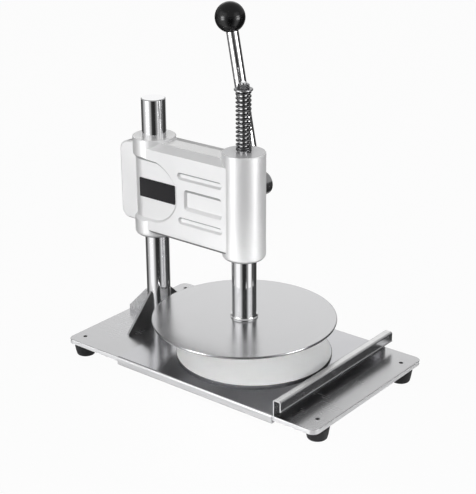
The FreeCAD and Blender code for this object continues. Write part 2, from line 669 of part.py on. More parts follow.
def lever_hub():
    """Round hub on the shaft's end, with a flat and a tapped hole for the lever."""
    centre = hub_centre()
    hub = rod(HUB_R, centre - ALONG_Y * HUB_HALF_L, centre + ALONG_Y * HUB_HALF_L)
    hub = hub.makeChamfer(1.0, [e for e in hub.Edges if e.Closed])
    axis = lever_axis()
    hub = hub.cut(rod(LEVER_R + 1.0, centre + axis * HUB_FLAT, centre + axis * 30.0))
    hub = hub.cut(rod(LEVER_STUD_R + SEAT, centre, centre + axis * 20.0))
    hub = hub.cut(rod(SHAFT_R + 0.02, centre - ALONG_Y * 20.0, centre + ALONG_Y * 20.0))
    return hub.cut(rod(3.0 + SEAT, centre, centre - axis * 20.0))


def hub_grub_screw():
    """Headless screw under the hub that locks it on the shaft."""
    axis = lever_axis()
    start = hub_centre() - axis * (HUB_R - 0.5)
    end = hub_centre() - axis * (SHAFT_R + 0.02)
    return rod(3.0, start, end).cut(hexagon(3.0, start, axis * 3.5))


def lever_rod():
    """Straight bar with a reduced threaded end in the hub and another in the ball."""
    centre = hub_centre()
    axis = lever_axis()
    seat = LEVER_LENGTH - math.sqrt(KNOB_R ** 2 - KNOB_FLAT_R ** 2)
    bar = rod(LEVER_R, centre + axis * HUB_FLAT, centre + axis * seat)
    bar = bar.makeChamfer(0.7, [e for e in bar.Edges if e.Closed])
    bar = bar.fuse(rod(LEVER_STUD_R, centre + axis * (SHAFT_R + 0.5), centre + axis * (HUB_FLAT + 1.0)))
    stud = rod(LEVER_STUD_R, centre + axis * (seat - 1.0), centre + axis * (seat + 14.0))
    return bar.fuse(stud).removeSplitter()


def lever_knob():
    """Ball knob with a small flat where the lever seats."""
    centre = hub_centre() + lever_axis() * LEVER_LENGTH
    axis = lever_axis()
    seat = math.sqrt(KNOB_R ** 2 - KNOB_FLAT_R ** 2)
    ball = Part.makeSphere(KNOB_R, centre, UP)
    ball = ball.cut(rod(KNOB_R, centre - axis * seat, centre - axis * (2.0 * KNOB_R)))
    return ball.cut(rod(LEVER_STUD_R + SEAT, centre - axis * (seat + 2.0), centre - axis * (seat - 16.0)))


def tray_profile():
    """Closed section of floor, wall, top and hanging lip along X and Z, with round bends."""
    t = TRAY_T
    floor = PLATE_TOP_Z + TRAY_GAP
    wall = TRAY_WALL_X
    outer = wall + HANDLE_REACH
    top = HANDLE_TOP_Z
    small = BEND_R
    big = BEND_R + t
    corners = [(TRAY_LEFT_X, floor, 0), (wall, floor, big), (wall, top - t, small),
               (outer - t, top - t, small), (outer - t, top - HANDLE_LIP_H, 0),
               (outer, top - HANDLE_LIP_H, 0), (outer, top, big), (wall - t, top, big),
               (wall - t, floor + t, small), (TRAY_LEFT_X, floor + t, 0)]
    return rounded_outline(corners, lambda u, w: vec(u, 0, w))


def tray_floor_section():
    """Closed section of the floor's two side flanges and their returns, along Y and Z."""
    t = TRAY_T
    inner = PLATE_WIDTH / 2.0 + TRAY_SIDE_GAP
    outer = inner + t
    high = PLATE_TOP_Z + TRAY_GAP + t
    low = TRAY_LOW_Z
    edge = outer - TRAY_LIP_W
    small = BEND_R
    big = BEND_R + t
    right = [(edge, low, 0), (outer, low, big), (outer, high, big)]
    inside = [(inner, high - t, small), (inner, low + t, small), (edge, low + t, 0)]
    left = [(-u, w, r) for u, w, r in reversed(right)]
    left_inside = [(-u, w, r) for u, w, r in reversed(inside)]
    corners = right + left + left_inside + inside
    return rounded_outline(corners, lambda u, w: vec(TRAY_LEFT_X, u, w))


def rounded_outline(corners, place):
    """Face from (u, w, radius) corners: straight runs joined by tangent arcs."""
    edges = []
    count = len(corners)
    starts = []
    ends = []
    for i, (u, w, radius) in enumerate(corners):
        before = corners[i - 1]
        after = corners[(i + 1) % count]
        a = FreeCAD.Vector(before[0] - u, before[1] - w, 0).normalize()
        b = FreeCAD.Vector(after[0] - u, after[1] - w, 0).normalize()
        half = a.getAngle(b) / 2.0
        reach = radius / math.tan(half)
        inset = radius / math.sin(half) - radius
        middle = (a + b).normalize() * inset
        starts.append((place(u + a.x * reach, w + a.y * reach), place(u + middle.x, w + middle.y), radius))
        ends.append(place(u + b.x * reach, w + b.y * reach))
    for i in range(count):
        start, middle, radius = starts[i]
        if radius > 0:
            edges.append(Part.Arc(start, middle, ends[i]).toShape())
        following = starts[(i + 1) % count][0]
        if (following - ends[i]).Length > 1e-6:
            edges.append(Part.LineSegment(ends[i], following).toShape())
    return Part.Face(Part.Wire(edges))


def slide_tray():
    """Folded sheet tray: it hooks under the plate's two long edges and has a hollow pull at +X."""
    half = PLATE_WIDTH / 2.0 + TRAY_SIDE_GAP + TRAY_T
    pull = tray_profile().extrude(vec(0, 2.0 * half, 0))
    pull.translate(vec(0, -half, 0))
    joint_x = TRAY_WALL_X - 4.0
    pull = pull.cut(block(vec(TRAY_LEFT_X - 1, -half - 1, 0), vec(joint_x, half + 1, PLATE_TOP_Z + 10)))
    floor = tray_floor_section().extrude(vec(joint_x - TRAY_LEFT_X, 0, 0))
    return floor.fuse(pull).removeSplitter()


def lower_disc():
    """Lower disc, fixed flat on the tray's floor."""
    x = ROD_X + TRAY_OUT_OF_CENTRE
    z = PLATE_TOP_Z + TRAY_GAP + TRAY_T
    disc = rod(LOWER_DISC_R, vec(x, 0, z), vec(x, 0, z + LOWER_DISC_T))
    return fillet_where(disc, LOWER_DISC_EDGE_R, lambda e, c: e.Closed and c.z > z + 1.0)


def spring_point(turn):
    """Middle of the wire after so many turns. Each end turn opens from nearly flat to full pitch."""
    height = SPRING_TOP_Z - BOSS_TOP_Z - 2.0 * WIRE_R
    pitch = (height - SPRING_END_PITCH) / (SPRING_TURNS - 1.0)
    opening = pitch - SPRING_END_PITCH
    if turn < 1.0:
        rise = SPRING_END_PITCH * turn + opening * turn * turn / 2.0
        rate = SPRING_END_PITCH + opening * turn
    elif turn > SPRING_TURNS - 1.0:
        rest = SPRING_TURNS - turn
        rise = height - SPRING_END_PITCH * rest - opening * rest * rest / 2.0
        rate = SPRING_END_PITCH + opening * rest
    else:
        rise = (SPRING_END_PITCH + pitch) / 2.0 + pitch * (turn - 1.0)
        rate = pitch
    angle = 2.0 * math.pi * turn
    point = vec(ROD_X + SPRING_R * math.cos(angle), SPRING_R * math.sin(angle), BOSS_TOP_Z + WIRE_R + rise)
    speed = 2.0 * math.pi * SPRING_R
    tangent = vec(-speed * math.sin(angle), speed * math.cos(angle), rate).normalize()
    return point, tangent


def biarc(p0, t0, p1, t1):
    """Two arcs that leave p0 along t0, meet smoothly and reach p1 along t1."""
    v = p1 - p0
    t = t0 + t1
    a = 2.0 * (1.0 - t0.dot(t1))
    d = (math.sqrt(v.dot(t) ** 2 + a * v.dot(v)) - v.dot(t)) / a
    c0 = p0 + t0 * d
    c1 = p1 - t1 * d
    joint = (c0 + c1) * 0.5
    return [tangent_arc(p0, c0, joint), tangent_arc(joint, c1, p1)]


def tangent_arc(start, corner, end):
    """Arc from start to end whose tangents meet at the corner."""
    middle = (start + end) * 0.5
    height = (corner - middle).Length
    half = (end - start).Length / 2.0
    sag = half * math.tan(math.atan2(height, half) / 2.0)
    return Part.Arc(start, middle + (corner - middle) * (sag / height), end).toShape()


def return_spring():
    """Round-wire compression spring as one tube on biarcs of a quarter turn."""
    edges = []
    for quarter in range(int(4 * SPRING_TURNS)):
        p0, t0 = spring_point(quarter / 4.0)
        p1, t1 = spring_point((quarter + 1) / 4.0)
        edges += biarc(p0, t0, p1, t1)
    point, tangent = spring_point(0.0)
    section = Part.Wire(Part.makeCircle(WIRE_R, point, tangent))
    tube = Part.Wire(edges).makePipeShell([section], True, False)
    print("spring: least gap between turns %.2f mm" % spring_gap())
    return Part.Solid(tube) if tube.ShapeType != "Solid" else tube


def spring_gap():
    """Least clear distance between stretches of wire more than half a turn apart."""
    per_turn = 24
    points = [spring_point(i / per_turn)[0] for i in range(int(per_turn * SPRING_TURNS) + 1)]
    least = 1e9
    for i, p in enumerate(points):
        for q in points[i + per_turn // 2:i + 2 * per_turn]:
            least = min(least, (p - q).Length - 2.0 * WIRE_R)
    return least


def spring_washer():
    washer = ring(SPRING_WASHER_R, STUB_R + 0.1, vec(ROD_X, 0, SPRING_TOP_Z),
                  vec(ROD_X, 0, SPRING_TOP_Z + SPRING_WASHER_T))
    return fillet_where(washer, 0.4, lambda e, c: e.Closed and e.Curve.Radius > 10)


def spindle_nut():
    """Hexagon nut with turned corners that holds the washer on the spindle."""
    low = vec(ROD_X, 0, SPRING_TOP_Z + SPRING_WASHER_T)
    nut = hexagon(NUT_FLATS, low, vec(0, 0, NUT_H))
    corner_r = NUT_FLATS / math.sqrt(3.0)
    crown = Part.makeCone(corner_r + 5.2, corner_r - 0.8, NUT_H, low, UP)
    return nut.common(crown).cut(rod(STUB_R + SEAT, low - UP, low + UP * (NUT_H + 1)))


def parts():
    """Every node by name. A node of several solids is a list."""
    return {
        "base_plate": base_plate(),
        "feet": [foot(x, y) for x, y in FOOT_PLACES],
        "foot_screws": [foot_screw(x, y) for x, y in FOOT_PLACES],
        "column": column(),
        "column_bolt": column_bolt(),
        "column_washer": column_washer(),
        "side_gussets": [side_gusset(-1), side_gusset(1)],
        "rear_gusset": rear_gusset(),
        "head_casting": head_casting(),
        "clamp_screws": [clamp_screw(z) for z in CLAMP_SCREW_Z],
        "name_plate": name_plate(),
        "inner_bush": inner_bush(),
        "bearing_cap": bearing_cap(),
        "cap_screws": [cap_fixing(x, z) for x, z in cap_screw_places()],
        "pinion_shaft": pinion_shaft(),
        "drive_pinion": drive_pinion(),
        "pinion_pin": pinion_pin(),
        "lever_hub": lever_hub(),
        "hub_grub_screw": hub_grub_screw(),
        "lever_rod": lever_rod(),
        "lever_knob": lever_knob(),
        "press_rod": press_rod(),
        "rod_foot_ring": rod_foot_ring(),
        "press_disc": press_disc(),
        "disc_screw": disc_screw(),
        "return_spring": return_spring(),
        "spring_washer": spring_washer(),
        "spindle_nut": spindle_nut(),
        "slide_tray": slide_tray(),
        "lower_disc": lower_disc(),
    }


def write(name, shape):
    """Check the solids of a node and save them."""
    solids = shape if isinstance(shape, list) else [shape]
    flat = []
    for solid in solids:
        flat += solid.Solids
    if len(flat) != len(solids) or not all(s.isValid() for s in flat):
        raise ValueError("%s: %d solids from %d, or not valid" % (name, len(flat), len(solids)))
    result = flat[0] if len(flat) == 1 else Part.makeCompound(flat)
    result.exportStep(os.path.join("parts", name + ".step"))
    box = result.BoundBox
    print("%-16s %9.0f mm3  x %7.1f %7.1f  y %7.1f %7.1f  z %7.1f %7.1f" % (
        name, result.Volume, box.XMin, box.XMax, box.YMin, box.YMax, box.ZMin, box.ZMax))


def main():
    os.makedirs("parts", exist_ok=True)
    for name, shape in parts().items():
        write(name, shape)


if __name__ == "__main__":
    main()
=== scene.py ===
"""Hand lever dough press on a steel base: finishes, added pieces, light and camera."""

import logging
import math
from collections.abc import Iterable, Mapping
from dataclasses import dataclass, replace
from enum import Enum
from typing import Any

import bmesh
import bpy
from mathutils import Matrix, Vector


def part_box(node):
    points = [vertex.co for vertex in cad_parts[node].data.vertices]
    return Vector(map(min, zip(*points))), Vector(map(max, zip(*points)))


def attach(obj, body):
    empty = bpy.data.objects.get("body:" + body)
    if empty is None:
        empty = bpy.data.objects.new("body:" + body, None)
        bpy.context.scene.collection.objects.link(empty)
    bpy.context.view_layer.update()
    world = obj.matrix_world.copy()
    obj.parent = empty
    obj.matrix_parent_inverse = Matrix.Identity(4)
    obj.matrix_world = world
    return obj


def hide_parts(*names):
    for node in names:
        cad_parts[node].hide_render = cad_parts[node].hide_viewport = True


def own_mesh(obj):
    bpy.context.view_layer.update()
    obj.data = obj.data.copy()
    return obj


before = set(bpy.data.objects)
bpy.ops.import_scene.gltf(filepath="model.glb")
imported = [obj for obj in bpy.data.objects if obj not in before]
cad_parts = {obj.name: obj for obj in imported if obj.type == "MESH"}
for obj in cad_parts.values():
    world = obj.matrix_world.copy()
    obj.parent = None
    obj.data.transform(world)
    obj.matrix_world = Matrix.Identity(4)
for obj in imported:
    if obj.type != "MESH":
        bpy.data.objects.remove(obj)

log = logging.getLogger("press")

Colour = tuple[float, float, float]
Cover = tuple[float, float, float, float]
Pair = tuple[float, float]
Point = tuple[float, float, float]
Stops = tuple[Pair, ...]
Socket = bpy.types.NodeSocket

MM = 0.001
# Points closer than this, in metres, become one: in any piece, and on the axis of a turned one.
WELD = 1e-6
POLE_WELD = 1e-7
# A face points along an axis when its normal has more than this along it.
FACING = 0.9

# What every finish shares: how fine its clouds are, which parts of the noise count, and how much
# darker the bottoms of its fine lines are. The last one winds the lines of turned work.
CLOUDS = 28.0
CLOUD_TONE: Pair = (0.3, 0.7)
NOISE_CORE: Pair = (0.25, 0.75)
LINE_DETAIL = 4.0
LINE_ROUGH = 0.6
WORN = 0.72
WORN_ZONE = 0.85
WINDING = 0.0016


class Grain(Enum):
    """Way in which the fine lines of a surface run."""

    ALONG_X = (0.03, 1.0, 1.0)
    ALONG_Z = (1.0, 1.0, 0.02)
    CAST = (1.0, 1.0, 1.0)
    TURNED = (0.0, 0.0, 0.0)


class Graph:
    """Short hand for filling one node tree."""

    def __init__(self, tree: bpy.types.NodeTree) -> None:
        """Empties the tree and keeps it.

        Args:
            tree: node tree of a material or of the world.
        """
        tree.nodes.clear()
        self.tree = tree

    def add(self, kind: str, sockets: Mapping[Any, Any] | None = None, **settings: Any) -> bpy.types.Node:
        """Makes one node.

        Args:
            kind: Blender's name for the node.
            sockets: socket name or number to a value, or to the output that feeds it.
            **settings: the node's own settings.

        Returns:
            The new node.
        """
        node = self.tree.nodes.new(kind)
        for name, value in settings.items():
            setattr(node, name, value)
        for name, value in (sockets or {}).items():
            if isinstance(value, Socket):
                self.tree.links.new(value, node.inputs[name])
            else:
                node.inputs[name].default_value = value
        return node

    def maths(self, operation: str, first: Any, second: Any = 0.0, clamp: bool = False) -> Socket:
        """Works out one number from two.

        Args:
            operation: name of the sum.
            first: value or output.
            second: value or output.
            clamp: whether to keep the result between nought and one.

        Returns:
            The result's output.
        """
        node = self.add("ShaderNodeMath", {0: first, 1: second}, operation=operation, use_clamp=clamp)
        return node.outputs[0]

    def vectors(self, operation: str, sockets: Mapping[int, Any], result: str = "Vector") -> Socket:
        """Works out one vector, or one number, from vectors.

        Args:
            operation: name of the sum.
            sockets: socket number to a value or output. A scale goes into number 3.
            result: name of the output.

        Returns:
            The result's output.
        """
        return self.add("ShaderNodeVectorMath", sockets, operation=operation).outputs[result]

    def spread(self, value: Any, low: float, high: float, to_low: float = 0.0,
               to_high: float = 1.0) -> Socket:
        """Carries a value from one range to another with a soft step.

        Args:
            value: output to carry over.
            low: start of its range.
            high: end of its range.
            to_low: value at the start.
            to_high: value at the end.

        Returns:
            The new value's output.
        """
        sockets = {"Value": value, "From Min": low, "From Max": high, "To Min": to_low, "To Max": to_high}
        return self.add("ShaderNodeMapRange", sockets, interpolation_type="SMOOTHSTEP").outputs["Result"]

    def noise(self, vector: Any, scale: float, detail: float = 3.0, rough: float = 0.5) -> Socket:
        """Soft noise between nought and one.

        Args:
            vector: where it is read.
            scale: how many features fit in a metre.
            detail: octaves.
            rough: weight of the finer octaves.

        Returns:
            The noise's output.
        """
        sockets = {"Vector": vector, "Scale": scale, "Detail": detail, "Roughness": rough}
        return self.add("ShaderNodeTexNoise", sockets).outputs["Fac"]

    def blend(self, share: Any, first: Any, second: Any) -> Socket:
        """Mixes two colours, which a Mix node takes in its sockets 6 and 7.

        Args:
            share: part of the second.
            first: colour or output.
            second: colour or output.

        Returns:
            The mixed colour's output.
        """
        node = self.add("ShaderNodeMix", {0: share, 6: first, 7: second}, data_type="RGBA")
        return node.outputs[2]

    def between(self, share: Any, first: Any, second: Any) -> Socket:
        """Mixes two numbers, which a Mix node takes in its sockets 2 and 3.

        Args:
            share: part of the second.
            first: value or output.
            second: value or output.

        Returns:
            The mixed number's output.
        """
        node = self.add("ShaderNodeMix", {0: share, 2: first, 3: second}, data_type="FLOAT")
        return node.outputs[0]


def shade(colour: Colour, factor: float) -> Cover:
    """Makes a colour lighter or darker.

    Args:
        colour: colour to start from.
        factor: what its three parts are multiplied by.

    Returns:
        The new colour with full cover, no part above one.
    """
    red, green, blue = (min(1.0, part * factor) for part in colour)
    return (red, green, blue, 1.0)


def grey(tone: float) -> Cover:
    """Returns a grey with full cover.

    Args:
        tone: its brightness, nought to one.

    Returns:
        The colour.
    """
    return (tone, tone, tone, 1.0)


def stand(name: str, data: bpy.types.ID) -> bpy.types.Object:
    """Puts a mesh, a lamp or a camera into the scene.

    Args:
        name: name of its object.
        data: what the object shows.

    Returns:
        The new object, at the origin.
    """
    made = bpy.data.objects.new(name, data)
    bpy.context.scene.collection.objects.link(made)
    return made


def mesh_of(name: str, shape: bmesh.types.BMesh) -> bpy.types.Mesh:
    """Turns a shape into a mesh and frees the shape.

    Args:
        name: name of the mesh.
        shape: what it holds.

    Returns:
        The new mesh.
    """
    mesh = bpy.data.meshes.new(name)
    shape.to_mesh(mesh)
    shape.free()
    return mesh


@dataclass(frozen=True)
class Zone:
    """Faces of a piece that point along an axis, or across it, with their own colour and gloss: on some
    pieces an edge finish, on most painted light and shade.

    The zone comes in as the share of the face's direction along the axis goes from start to full.
    With a height given, in metres, the zone lies only above it.
    """

    axis: Point
    colour: Colour
    rough: float
    across: bool = False
    start: float = 0.5
    full: float = 0.8
    above: float | None = None

    def mask(self, graph: Graph) -> Socket:
        """Share of the zone at a point.

        Args:
            graph: the material's graph.

        Returns:
            One inside the zone and nought outside it.
        """
        way = graph.add("ShaderNodeTexCoord").outputs["Normal"]
        along = graph.vectors("DOT_PRODUCT", {0: way, 1: self.axis}, "Value")
        if self.across:
            return graph.spread(graph.maths("ABSOLUTE", along), self.start, self.full, 1.0, 0.0)
        facing = graph.spread(along, self.start, self.full)
        if self.above is None:
            return facing
        where = graph.add("ShaderNodeTexCoord").outputs["Object"]
        height = graph.add("ShaderNodeSeparateXYZ", {0: where}).outputs[2]
        return graph.maths("MULTIPLY", facing, graph.spread(height, self.above, self.above + MM))


@dataclass(frozen=True)
class Finish:
    """Surface of one kind of piece, drawn by noise in the piece's own coordinates.

    Fineness is lines per metre, depth is their relief in metres, smudge is how much the gloss
    varies and mottle how much the tone does. Middle and turn place the axis of turned work.
    """

    name: str
    colour: Colour
    rough: float
    metal: float = 1.0
    grain: Grain = Grain.CAST
    fineness: float = 900.0
    depth: float = 0.00002
    smudge: float = 0.06
    mottle: float = 0.05
    middle: Point = (0.0, 0.0, 0.0)
    turn: Point = (0.0, 0.0, 0.0)
    specular: float = 0.5
    zones: tuple[Zone, ...] = ()

    def place(self, graph: Graph) -> Socket:
        """Coordinates stretched or wound as the grain runs.

        Args:
            graph: the material's graph.

        Returns:
            The output to read the fine noise with.
        """
        where = graph.add("ShaderNodeTexCoord").outputs["Object"]
        centred = graph.vectors("SUBTRACT", {0: where, 1: self.middle})
        level = graph.add("ShaderNodeMapping", {"Vector": centred, "Rotation": self.turn}).outputs[0]
        if self.grain is not Grain.TURNED:
            return graph.vectors("MULTIPLY", {0: level, 1: self.grain.value})
        axes = graph.add("ShaderNodeSeparateXYZ", {0: level}).outputs
        flat = graph.add("ShaderNodeCombineXYZ", {0: axes[0], 1: axes[1]}).outputs[0]
        radius = graph.vectors("LENGTH", {0: flat}, "Value")
        angle = graph.maths("ARCTAN2", axes[1], axes[0])
        slow = graph.maths("MULTIPLY", graph.maths("ABSOLUTE", angle), WINDING)
        return graph.add("ShaderNodeCombineXYZ", {0: radius, 1: slow, 2: axes[2]}).outputs[0]

    def make(self) -> bpy.types.Material:
        """Builds the material.

        Returns:
            A material with tone, gloss and relief from noise.
        """
        material = bpy.data.materials.new(self.name)
        material.use_nodes = True
        graph = Graph(material.node_tree)
        where = graph.add("ShaderNodeTexCoord").outputs["Object"]
        lines = graph.noise(self.place(graph), self.fineness, LINE_DETAIL, LINE_ROUGH)
        fine = graph.spread(lines, *NOISE_CORE)
        cloud = graph.noise(where, CLOUDS)
        dark, pale = shade(self.colour, 1.0 - self.mottle), shade(self.colour, 1.0 + self.mottle)
        tone = graph.blend(graph.spread(cloud, *CLOUD_TONE), dark, pale)
        tone = graph.blend(graph.maths("MULTIPLY", fine, self.mottle * 2.0), tone,
                           shade(self.colour, WORN))
        half = self.smudge * 0.5
        gloss = graph.spread(cloud, *NOISE_CORE, self.rough - half, self.rough + half)
        gloss = graph.maths("ADD", gloss, graph.maths("MULTIPLY", fine, half), clamp=True)
        for zone in self.zones:
            mask = zone.mask(graph)
            face = graph.blend(fine, shade(zone.colour, 1.0), shade(zone.colour, WORN_ZONE))
            tone = graph.blend(mask, tone, face)
            gloss = graph.between(mask, gloss, zone.rough)
        relief = graph.add("ShaderNodeBump", {"Strength": 1.0, "Distance": self.depth, "Height": lines})
        shader = graph.add("ShaderNodeBsdfPrincipled",
                           {"Base Color": tone, "Roughness": gloss, "Metallic": self.metal,
                            "Specular IOR Level": self.specular, "Normal": relief.outputs["Normal"]})
        graph.add("ShaderNodeOutputMaterial", {"Surface": shader.outputs[0]})
        return material


CHROME = Finish("hard_chrome", (0.95, 0.95, 0.96), 0.07, grain=Grain.ALONG_Z, fineness=1500.0,
                depth=0.000002, smudge=0.03, mottle=0.015)


class Workshop:
    """Turns shapes into pieces and dresses the nodes that stay as they are."""

    def __init__(self) -> None:
        """Starts with no material made."""
        self.made: dict[str, bpy.types.Material] = {}

    def material(self, finish: Finish) -> bpy.types.Material:
        """Finds the finish's material, and makes it the first time.

        Args:
            finish: what the surface is.

        Returns:
            The one material of that finish.
        """
        if finish.name not in self.made:
            self.made[finish.name] = finish.make()
        return self.made[finish.name]

    def dress(self, nodes: Iterable[str], finish: Finish) -> None:
        """Gives carried-over nodes a finish.

        Args:
            nodes: names of the nodes.
            finish: what their surface is.
        """
        material = self.material(finish)
        for name in nodes:
            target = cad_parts[name]
            if not target.material_slots:
                target.data.materials.append(material)
            for slot in target.material_slots:
                slot.material = material
            log.info("dressed %s as %s", name, finish.name)

    def piece(self, name: str, shape: bmesh.types.BMesh, finish: Finish, body: str,
              replaces: Iterable[str] = (), crease: float = 40.0) -> bpy.types.Object:
        """Makes a finished piece of a shape.

        Args:
            name: name of the piece.
            shape: its form, in metres and in place.
            finish: what its surface is.
            body: the moving group that it rides on.
            replaces: nodes that it stands for.
            crease: angle in degrees past which an edge stays sharp.

        Returns:
            The new object.
        """
        bmesh.ops.remove_doubles(shape, verts=shape.verts, dist=WELD)
        bmesh.ops.recalc_face_normals(shape, faces=shape.faces)
        for face in shape.faces:
            face.smooth = True
        for edge in shape.edges:
            edge.smooth = len(edge.link_faces) == 2 and edge.calc_face_angle(0.0) < math.radians(crease)
        mesh = mesh_of(name, shape)
        mesh.materials.append(self.material(finish))
        made = stand(name, mesh)
        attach(made, body)
        if replaces:
            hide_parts(*replaces)
        log.info("made %s with %d faces", name, len(mesh.polygons))
        return made


def turned(outline: Iterable[Pair], base: Matrix, steps: int) -> bmesh.types.BMesh:
    """Spins an outline round its axis.

    Args:
        outline: radius and height pairs in millimetres, from one pole to the other or closed round a bore.
        base: places the axis, whose Z is the outline's height.
        steps: how many strips the full turn has.

    Returns:
        The closed shape, in metres.
    """
    shape = bmesh.new()
    points = [shape.verts.new((radius * MM, 0.0, height * MM)) for radius, height in outline]
    edges = [shape.edges.new(pair) for pair in zip(points, points[1:])]
    bmesh.ops.spin(shape, geom=points + edges, cent=(0, 0, 0), axis=(0, 0, 1), angle=math.tau, steps=steps,
                   use_merge=True, use_duplicate=False)
    bmesh.ops.remove_doubles(shape, verts=shape.verts, dist=POLE_WELD)
    bmesh.ops.transform(shape, matrix=base, verts=shape.verts)
    return shape


def arc(middle: Pair, radius: float, start: float, end: float, steps: int) -> list[Pair]:
    """Lays points along an arc of an outline.

    Args:
        middle: centre of the arc.
        radius: its radius.
        start: first angle, in degrees from the outline's first axis.
        end: last angle.
        steps: how many parts it has.

    Returns:
        The points, one more than the parts.
    """
    turns = [math.radians(start + (end - start) * i / steps) for i in range(steps + 1)]
    return [(middle[0] + radius * math.cos(a), middle[1] + radius * math.sin(a)) for a in turns]


def upright(x: float, y: float, z: float = 0.0) -> Matrix:
    """Places an upright axis through a point.

    Args:
        x: the point's place in millimetres.
        y: the same along Y.
        z: the same along Z.

    Returns:
        The placing, in metres.
    """
    return Matrix.Translation((x * MM, y * MM, z * MM))


@dataclass
class BaseFrame:
    """Base plate, feet, column and its gussets, with lengths in millimetres as in the groups below."""

    places: tuple[Pair, ...] = ((-187.5, -101.0), (-187.5, 104.0), (187.5, -92.0), (187.5, 92.5))
    foot_height: float = 19.0
    foot_top: float = 15.5
    foot_bottom: float = 12.5
    foot_round: float = 2.5
    foot_round_end: float = -9.0
    foot_bore: float = 2.8
    seat_radius: float = 6.0
    seat_height: float = 8.0
    seat_bevel: float = 0.5
    wall_heights: tuple[float, ...] = (6.0, 10.0, 14.0, 16.6)
    groove: tuple[Pair, ...] = ((-0.75, 16.9), (-0.75, 17.5), (-0.25, 17.9), (0.0, 18.4), (0.0, 19.0))
    foot_strips: int = 64
    plate: Finish = Finish("brushed_plate", (0.75, 0.75, 0.76), 0.25, grain=Grain.ALONG_X, fineness=700.0,
                           depth=0.000002, smudge=0.04, mottle=0.03,
                           zones=(Zone((0.0, 0.0, 1.0), (0.84, 0.84, 0.85), 0.40, across=True,
                                       start=0.35, full=0.75),))
    # The side gussets are the rear gusset's steel painted darker, 0.30 against 0.56: painted shade, the dark
    # reflection on their faces. Their edges keep the rear gusset's lighter edge colour.
    side_sheet_painted_shade: Finish = Finish("side_gusset_painted_shade", (0.30, 0.30, 0.305), 0.30, grain=Grain.ALONG_Z,
                                depth=0.000004,
                                zones=(Zone((1.0, 0.0, 0.0), (0.72, 0.72, 0.73), 0.35, across=True,
                                            start=0.35, full=0.75),))
    rear_sheet: Finish = Finish("rear_gusset_sheet", (0.56, 0.56, 0.57), 0.24, grain=Grain.ALONG_Z,
                                depth=0.000004,
                                zones=(Zone((0.0, 1.0, 0.0), (0.72, 0.72, 0.73), 0.35, across=True,
                                            start=0.35, full=0.75),))
    bolt: Finish = Finish("fastener_zinc", (0.42, 0.42, 0.43), 0.34, fineness=1400.0)
    # The foot screws are painted near black, standing in for the shade down their holes in the plate: painted
    # shade.
    screw_ends_painted_shade: Finish = Finish("foot_screw_painted_shade", (0.03, 0.03, 0.032), 0.45, fineness=1400.0)
    rubber: Finish = Finish("foot_rubber", (0.012, 0.012, 0.013), 0.52, metal=0.0, fineness=1800.0,
                            depth=0.00006, mottle=0.2, specular=0.35)

    def feet(self, shop: Workshop) -> None:
        """Builds the four moulded feet as one piece.

        Args:
            shop: makes the pieces.
        """
        middle = (self.foot_bottom - self.foot_round, self.foot_round)
        wall = (self.foot_top - self.foot_bottom) / self.foot_height
        outline = [(self.foot_bore, self.seat_height), (self.seat_radius, self.seat_height),
                   (self.seat_radius, self.seat_bevel), (self.seat_radius + self.seat_bevel, 0.0)]
        outline += arc(middle, self.foot_round, -90.0, self.foot_round_end, steps=6)
        outline += [(self.foot_bottom + wall * z, z) for z in self.wall_heights]
        outline += [(self.foot_top + step, z) for step, z in self.groove]
        outline += [(self.foot_bore, self.foot_height), (self.foot_bore, self.seat_height)]
        whole = bmesh.new()
        for x, y in self.places:
            held = mesh_of("held", turned(outline, upright(x, y), self.foot_strips))
            whole.from_mesh(held)
            bpy.data.meshes.remove(held)
        shop.piece("moulded_feet", whole, self.rubber, "base", ["feet"])

    def build(self, shop: Workshop) -> None:
        """Dresses the base and adds its feet.

        Args:
            shop: makes the pieces.
        """
        shop.dress(["base_plate"], self.plate)
        shop.dress(["column"], CHROME)
        shop.dress(["side_gussets"], self.side_sheet_painted_shade)
        shop.dress(["rear_gusset"], self.rear_sheet)
        shop.dress(["column_bolt", "column_washer"], self.bolt)
        shop.dress(["foot_screws"], self.screw_ends_painted_shade)
        self.feet(shop)


